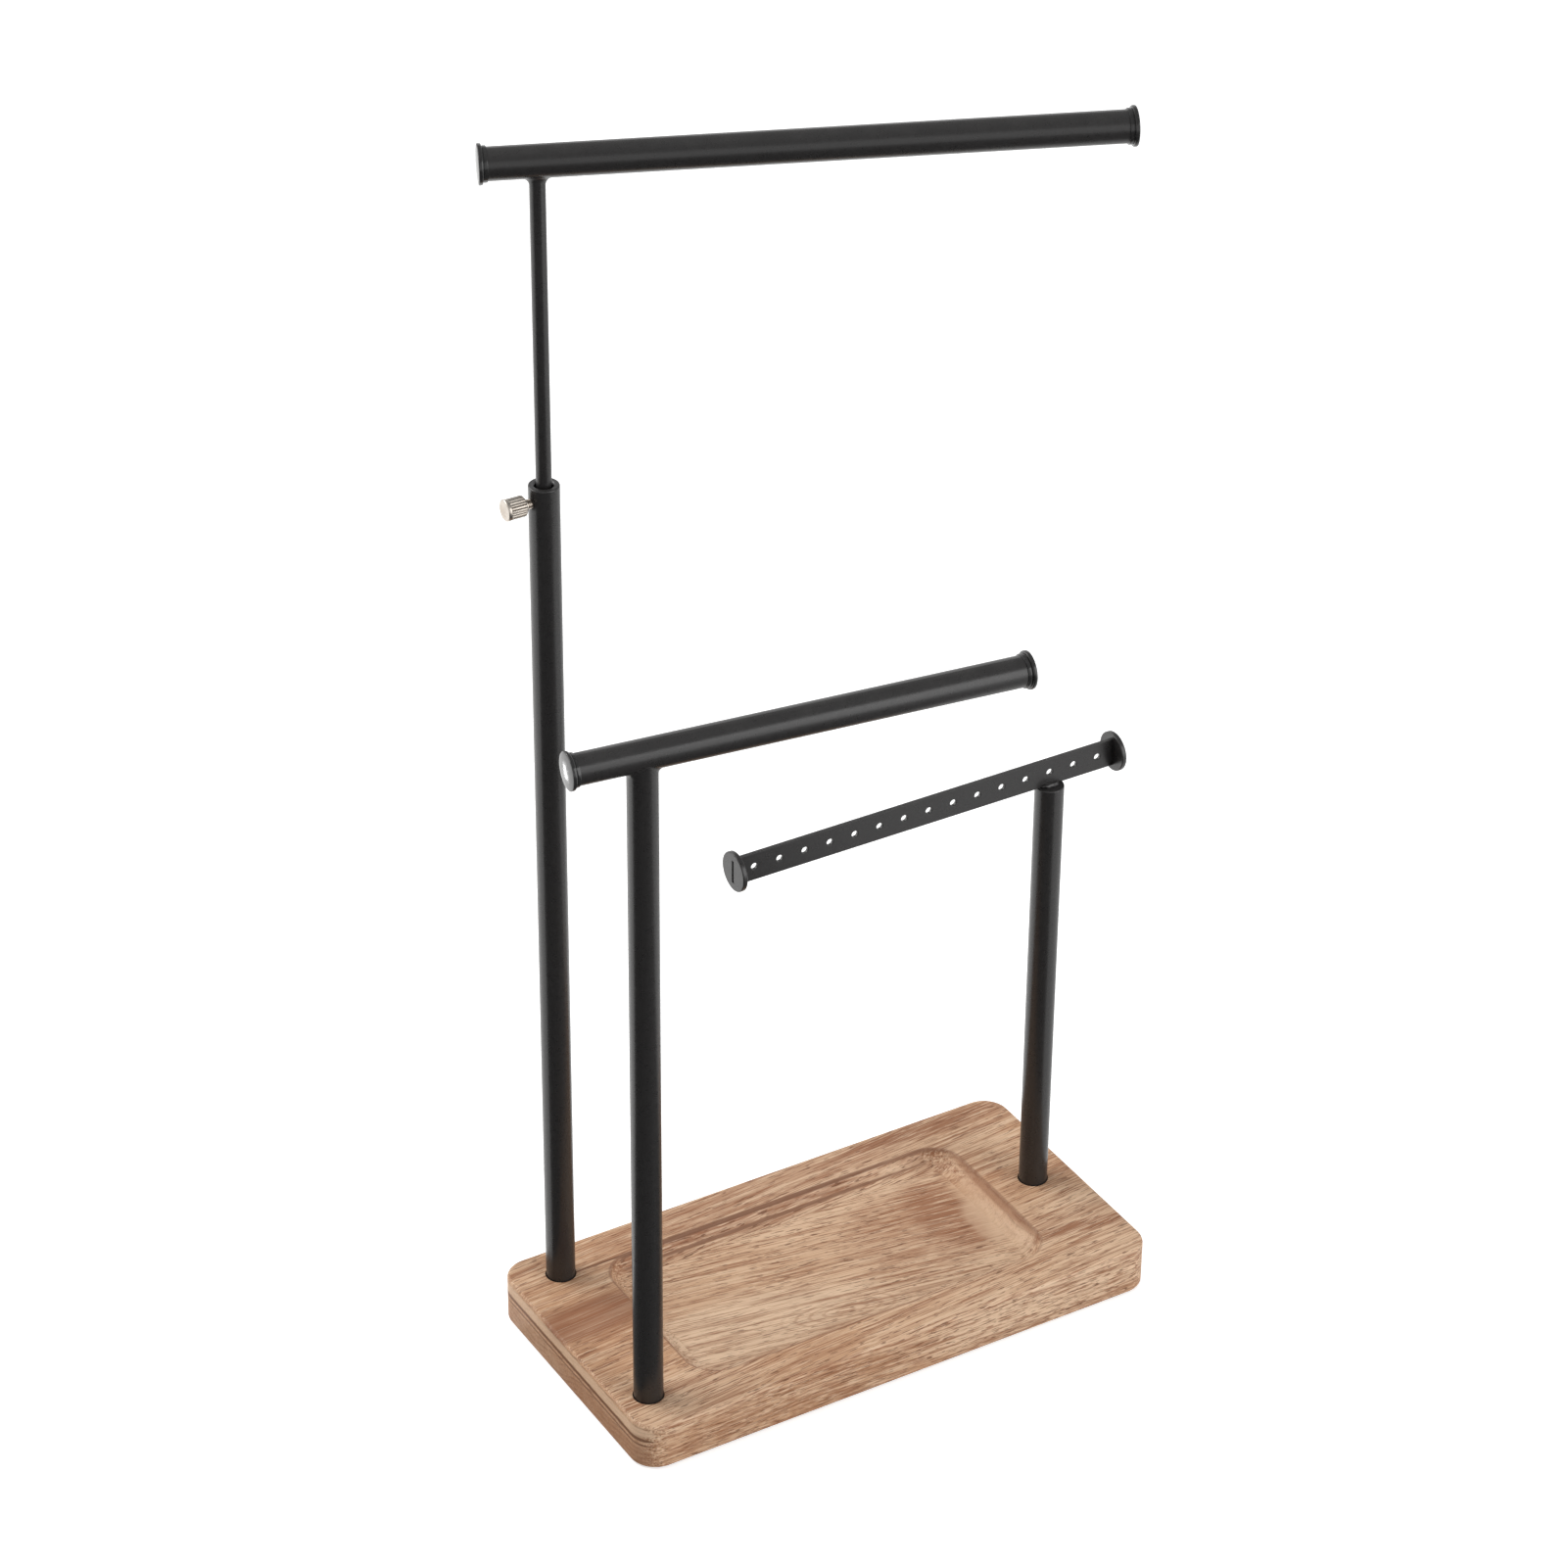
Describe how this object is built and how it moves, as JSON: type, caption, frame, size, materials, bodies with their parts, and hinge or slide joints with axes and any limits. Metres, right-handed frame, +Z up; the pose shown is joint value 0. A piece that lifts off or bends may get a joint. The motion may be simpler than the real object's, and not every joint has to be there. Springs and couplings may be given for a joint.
{
  "type": "jewelry stand",
  "caption": "Jewelry stand: wooden tray base with round metal posts carrying T bars and an earring strip; the top bar slides, swivels and is clamped by a thumbscrew.",
  "frame": {"origin": "middle of the face that the stand rests on", "axes": "+X along the base towards the earring post, +Y to the back, +Z up"},
  "size_m": [0.2885, 0.1372, 0.559],
  "materials": {
    "acacia_wood": "oiled, open grain",
    "black_powder_coat": "satin black powder coat",
    "black_cap_plastic": "gloss black",
    "nickel_plate": "bright nickel plate",
    "zinc_steel": "zinc plated",
    "nylon": "matte",
    "anti_slip_sheet": "matte"
  },
  "bodies": {
    "stand": {"wooden_base": "acacia_wood", "base_sheet": "anti_slip_sheet", "base_screws": "zinc_steel", "base_washers": "zinc_steel", "tall_post_tube": "black_powder_coat", "tall_post_collar": "black_powder_coat", "tall_post_plug": "zinc_steel", "bracelet_post": "black_powder_coat", "bracelet_post_plug": "zinc_steel", "bracelet_bar": "black_powder_coat", "bracelet_bar_cap_left": "black_cap_plastic", "bracelet_bar_cap_right": "black_cap_plastic", "earring_post": "black_powder_coat", "earring_post_plug": "zinc_steel", "earring_post_cap": "black_powder_coat", "earring_strip": "black_powder_coat", "earring_disc_left": "black_powder_coat", "earring_disc_right": "black_powder_coat", "earring_strip_weld": "black_powder_coat"},
    "rod_guide": {"rod_guide_bush": "nylon"},
    "necklace_arm": {"telescopic_rod": "black_powder_coat", "rod_end_screw": "zinc_steel", "necklace_bar": "black_powder_coat", "necklace_bar_cap_left": "black_cap_plastic", "necklace_bar_cap_right": "black_cap_plastic"},
    "clamp_pad": {"thumbscrew_pad": "nylon"},
    "thumbscrew": {"thumbscrew_head": "nickel_plate", "thumbscrew_stud": "nickel_plate"}
  },
  "joints": [
    {"name": "height_slide", "type": "slide", "parent": "stand", "child": "rod_guide", "axis": [0, 0, 1], "range_m": [-0.128, 0.04]},
    {"name": "bar_swivel", "type": "hinge", "parent": "rod_guide", "child": "necklace_arm", "pos_m": [-0.106, 0.0478, 0.551], "axis": [0, 0, 1], "continuous": true},
    {"name": "clamp_travel", "type": "slide", "parent": "stand", "child": "clamp_pad", "axis": [-1, 0, 0], "range_m": [0, 0.00105]},
    {"name": "thumbscrew_turn", "type": "hinge", "parent": "clamp_pad", "child": "thumbscrew", "pos_m": [-0.11235, 0.0478, 0.4055], "axis": [-1, 0, 0], "range_deg": [0, 540]}
  ],
  "couplings": [
    {"joint": "thumbscrew_turn", "follows": "clamp_travel", "rad_per_m": 8976}
  ]
}
